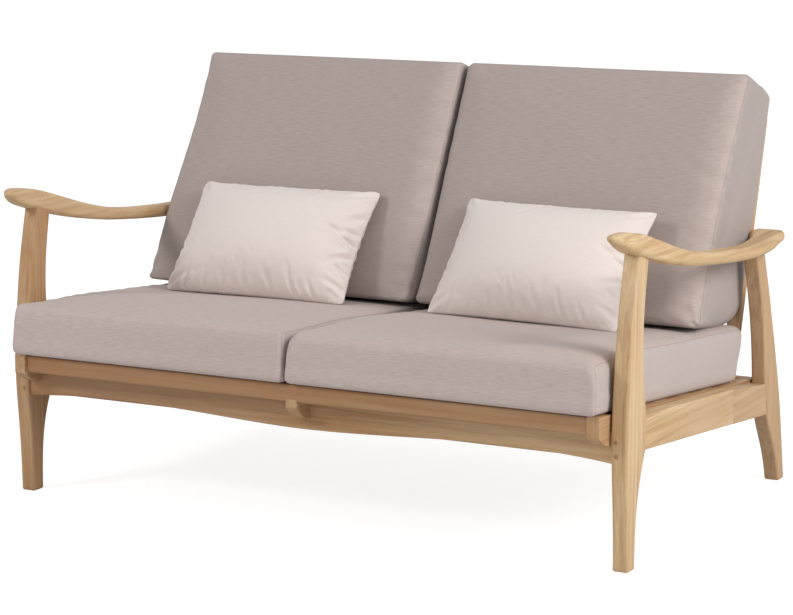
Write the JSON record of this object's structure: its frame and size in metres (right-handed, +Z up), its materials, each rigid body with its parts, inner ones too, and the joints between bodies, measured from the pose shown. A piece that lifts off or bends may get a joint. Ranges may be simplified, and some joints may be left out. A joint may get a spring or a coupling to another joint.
{
  "type": "patio loveseat",
  "caption": "Low patio loveseat: swept teak side frames, slatted seat and back, loose box cushions on seat and back, and throw pillows.",
  "frame": {"origin": "on the floor, under the middle of the whole piece", "axes": "+X to the right as seen from the front, +Y to the back, +Z up"},
  "size_m": [1.4022, 0.9242, 0.8507],
  "materials": {
    "teak": "satin",
    "taupe_weave": "matte",
    "cream_satin": "satin",
    "steel": "satin"
  },
  "bodies": {
    "frame": {"apron_pegs": "teak", "arm_dowels": "teak", "armrest_left": "teak", "armrest_right": "teak", "back_slat_1": "teak", "back_slat_2": "teak", "back_slat_3": "teak", "back_slat_4": "teak", "back_stile_left": "teak", "back_stile_right": "teak", "back_top_rail": "teak", "centre_stile": "teak", "front_apron": "teak", "front_batten": "teak", "front_leg_left": "teak", "front_leg_right": "teak", "rail_heel_left": "teak", "rail_heel_right": "teak", "rear_leg_left": "teak", "rear_leg_right": "teak", "rear_rail": "teak", "seat_bearer_centre": "teak", "seat_bearer_left": "teak", "seat_bearer_right": "teak", "seat_slat_1": "teak", "seat_slat_2": "teak", "seat_slat_3": "teak", "seat_slat_4": "teak", "seat_slat_5": "teak", "seat_slat_6": "teak", "side_rail_left": "teak", "side_rail_right": "teak", "back_slat_screws": "steel", "seat_slat_screws": "steel", "stile_bolts": "steel", "stile_nuts": "steel"},
    "seat_cushion_left_body": {"seat_cushion_left": "taupe_weave"},
    "back_cushion_left_body": {"back_cushion_left": "taupe_weave"},
    "throw_pillow_left_body": {"throw_pillow_left": "cream_satin"},
    "seat_cushion_right_body": {"seat_cushion_right": "taupe_weave"},
    "back_cushion_right_body": {"back_cushion_right": "taupe_weave"},
    "throw_pillow_right_body": {"throw_pillow_right": "cream_satin"}
  },
  "joints": [
    {"name": "seat_cushion_left_lift", "type": "slide", "parent": "frame", "child": "seat_cushion_left_body", "axis": [0, 0, 1], "range_m": [0, 0.35]},
    {"name": "back_cushion_left_lift", "type": "slide", "parent": "seat_cushion_left_body", "child": "back_cushion_left_body", "axis": [0, 0, 1], "range_m": [0, 0.5]},
    {"name": "throw_pillow_left_lift", "type": "slide", "parent": "back_cushion_left_body", "child": "throw_pillow_left_body", "axis": [0, 0, 1], "range_m": [0, 0.3]},
    {"name": "seat_cushion_right_lift", "type": "slide", "parent": "frame", "child": "seat_cushion_right_body", "axis": [0, 0, 1], "range_m": [0, 0.35]},
    {"name": "back_cushion_right_lift", "type": "slide", "parent": "seat_cushion_right_body", "child": "back_cushion_right_body", "axis": [0, 0, 1], "range_m": [0, 0.5]},
    {"name": "throw_pillow_right_lift", "type": "slide", "parent": "back_cushion_right_body", "child": "throw_pillow_right_body", "axis": [0, 0, 1], "range_m": [0, 0.3]}
  ]
}
